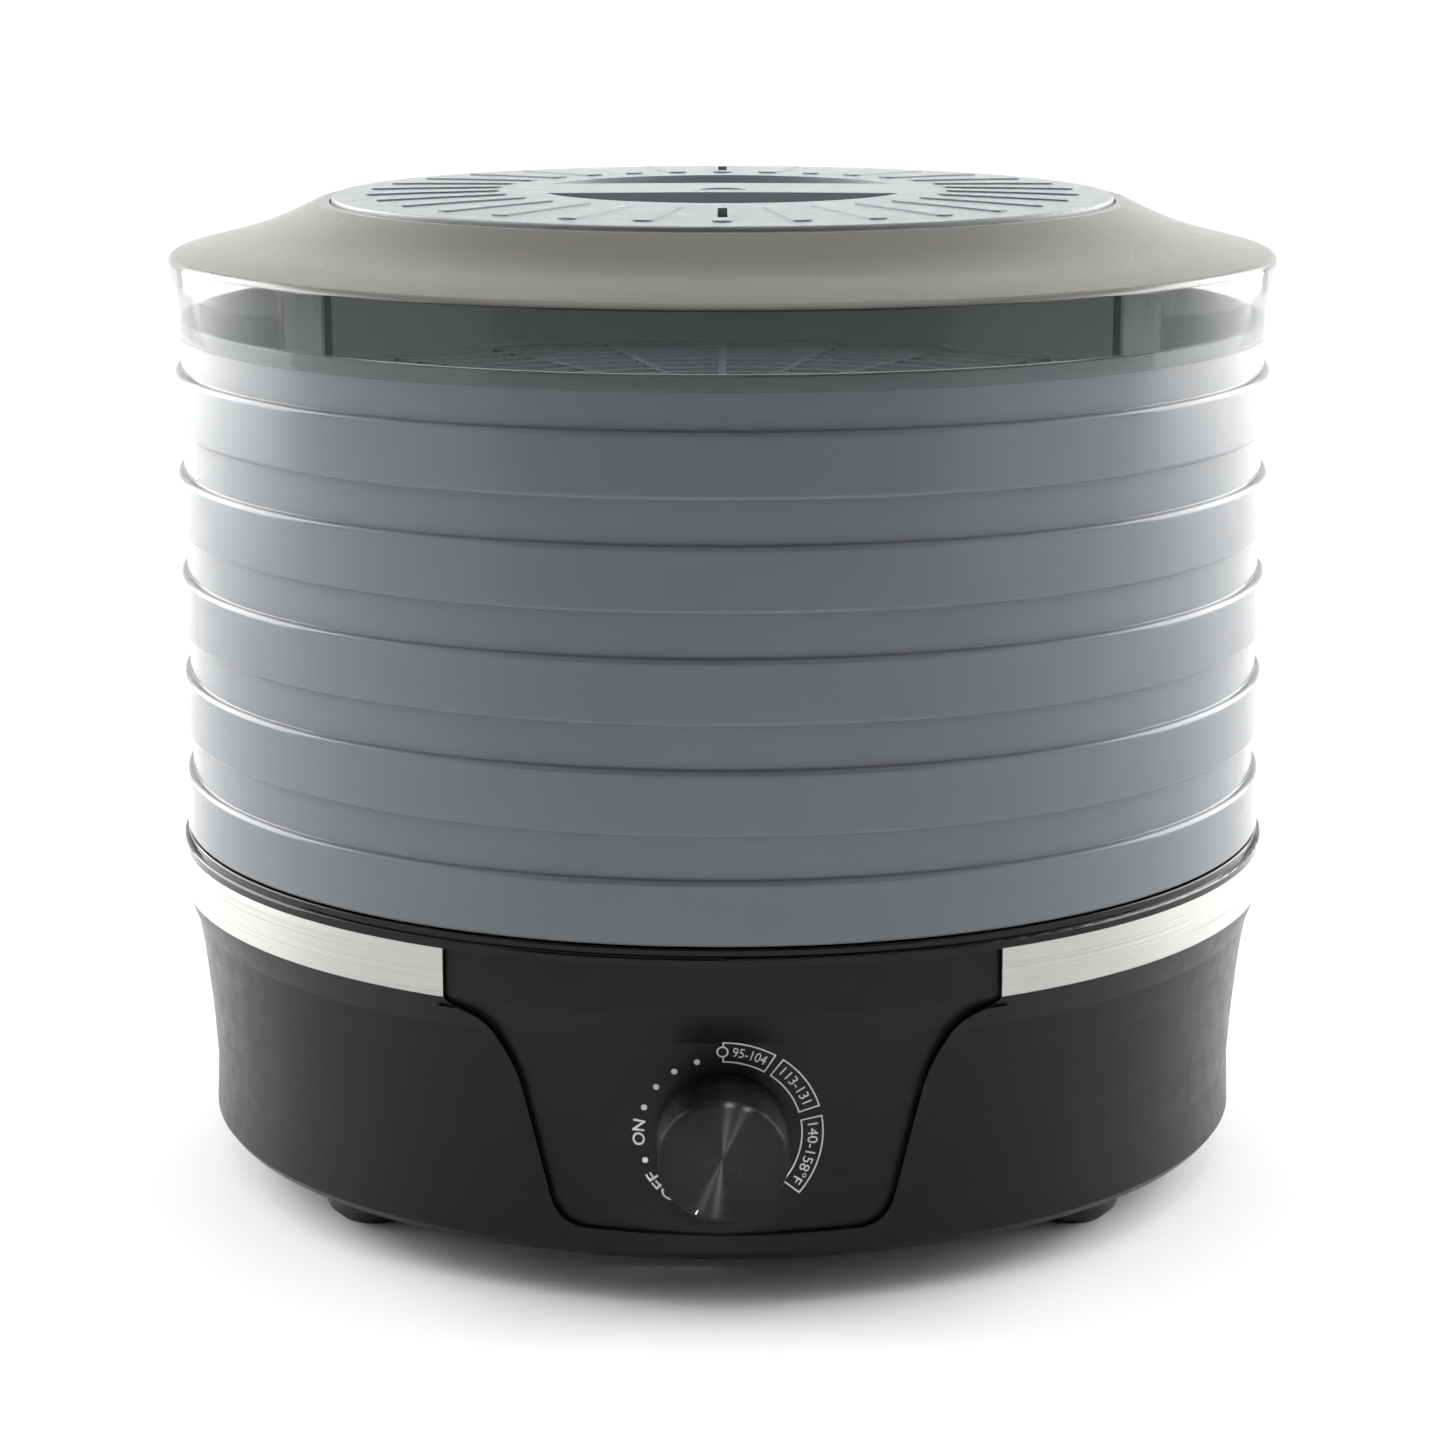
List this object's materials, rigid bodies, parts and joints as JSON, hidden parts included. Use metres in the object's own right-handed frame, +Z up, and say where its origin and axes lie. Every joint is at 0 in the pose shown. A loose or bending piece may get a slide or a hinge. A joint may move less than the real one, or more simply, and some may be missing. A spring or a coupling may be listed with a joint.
{
  "type": "food dehydrator",
  "caption": "Round countertop food dehydrator with stacking mesh trays, a powered base with a heated fan and thermostat knob, and a lid with a rotary vent.",
  "frame": {"origin": "centre of the base's footprint on the table, at the underside of the feet", "axes": "+Z up along the stack axis, -Y towards the control panel at the front, +X to the right seen from the front"},
  "size_m": [0.292, 0.3025, 0.2591],
  "materials": {
    "housing_black": "fine matte texture",
    "deck_black": "gloss",
    "trim_steel": "brushed along the band",
    "panel_black": "satin",
    "foot_rubber": "soft matte",
    "gland_black": "matte",
    "knob_black": "gloss with a turned face",
    "tray_grey": "gloss, slightly translucent",
    "lid_smoke": "frosted cone, clear skirt",
    "vent_grey": "satin",
    "grille_metal": "satin",
    "sheet_metal": "mill finish",
    "lamination_steel": "laminated edge",
    "coil_copper": "enamelled wire",
    "bracket_zinc": "die cast",
    "bush_bronze": "sintered",
    "fastener_steel": "zinc plated",
    "mica_board": "layered mica",
    "heater_alloy": "drawn wire",
    "fuse_metal": "satin",
    "thermostat_phenolic": "moulded",
    "terminal_nylon": "moulded",
    "lead_insulation": "silicone sleeve",
    "fan_nylon": "moulded"
  },
  "bodies": {
    "base": {"base_housing": "housing_black", "top_deck": "deck_black", "steel_trim_band": "trim_steel", "control_panel": "panel_black", "bottom_cover": "housing_black", "cover_screws": "fastener_steel", "case_screws": "fastener_steel", "foot_front_left": "foot_rubber", "foot_front_right": "foot_rubber", "foot_rear_left": "foot_rubber", "foot_rear_right": "foot_rubber", "cord_gland": "gland_black", "outlet_grille": "grille_metal", "air_duct": "sheet_metal", "motor_strap": "sheet_metal", "motor_stator": "lamination_steel", "motor_coil": "coil_copper", "bearing_bracket_lower": "bracket_zinc", "bearing_bracket_upper": "bracket_zinc", "bearing_bush_lower": "bush_bronze", "bearing_bush_upper": "bush_bronze", "motor_screws": "fastener_steel", "motor_nuts": "fastener_steel", "heater_board": "mica_board", "heater_wire": "heater_alloy", "thermal_fuse": "fuse_metal", "thermostat_body": "thermostat_phenolic", "thermostat_nut": "bush_bronze", "terminal_block": "terminal_nylon", "lead_thermostat": "lead_insulation", "lead_heater": "lead_insulation"},
    "fan": {"motor_rotor": "lamination_steel", "motor_shaft": "fastener_steel", "fan_impeller": "fan_nylon", "fan_clip": "fastener_steel"},
    "knob": {"knob_cap": "knob_black", "knob_clip": "fastener_steel", "thermostat_shaft": "bush_bronze"},
    "tray_1": {"tray_1": "tray_grey", "tray_1_mesh": "tray_grey"},
    "tray_2": {"tray_2": "tray_grey", "tray_2_mesh": "tray_grey"},
    "tray_3": {"tray_3": "tray_grey", "tray_3_mesh": "tray_grey"},
    "tray_4": {"tray_4": "tray_grey", "tray_4_mesh": "tray_grey"},
    "tray_5": {"tray_5": "tray_grey", "tray_5_mesh": "tray_grey"},
    "lid": {"lid_shell": "lid_smoke"},
    "vent": {"vent_dial": "vent_grey", "vent_retainer": "vent_grey"}
  },
  "joints": [
    {"name": "fan_spin", "type": "hinge", "parent": "base", "child": "fan", "pos_m": [0, 0, 0.0585], "axis": [0, 0, 1], "continuous": true},
    {"name": "knob_turn", "type": "hinge", "parent": "base", "child": "knob", "pos_m": [0, -0.13875, 0.0432], "axis": [0, 0.9959, 0.0906], "range_deg": [0, 280]},
    {"name": "tray_1_lift", "type": "slide", "parent": "base", "child": "tray_1", "axis": [0, 0, 1], "range_m": [0, 0.04]},
    {"name": "tray_2_lift", "type": "slide", "parent": "tray_1", "child": "tray_2", "axis": [0, 0, 1], "range_m": [0, 0.04]},
    {"name": "tray_3_lift", "type": "slide", "parent": "tray_2", "child": "tray_3", "axis": [0, 0, 1], "range_m": [0, 0.04]},
    {"name": "tray_4_lift", "type": "slide", "parent": "tray_3", "child": "tray_4", "axis": [0, 0, 1], "range_m": [0, 0.04]},
    {"name": "tray_5_lift", "type": "slide", "parent": "tray_4", "child": "tray_5", "axis": [0, 0, 1], "range_m": [0, 0.04]},
    {"name": "lid_lift", "type": "slide", "parent": "tray_5", "child": "lid", "axis": [0, 0, 1], "range_m": [0, 0.07]},
    {"name": "vent_turn", "type": "hinge", "parent": "lid", "child": "vent", "pos_m": [0, 0, 0.257], "axis": [0, 0, 1], "range_deg": [0, 12]}
  ]
}
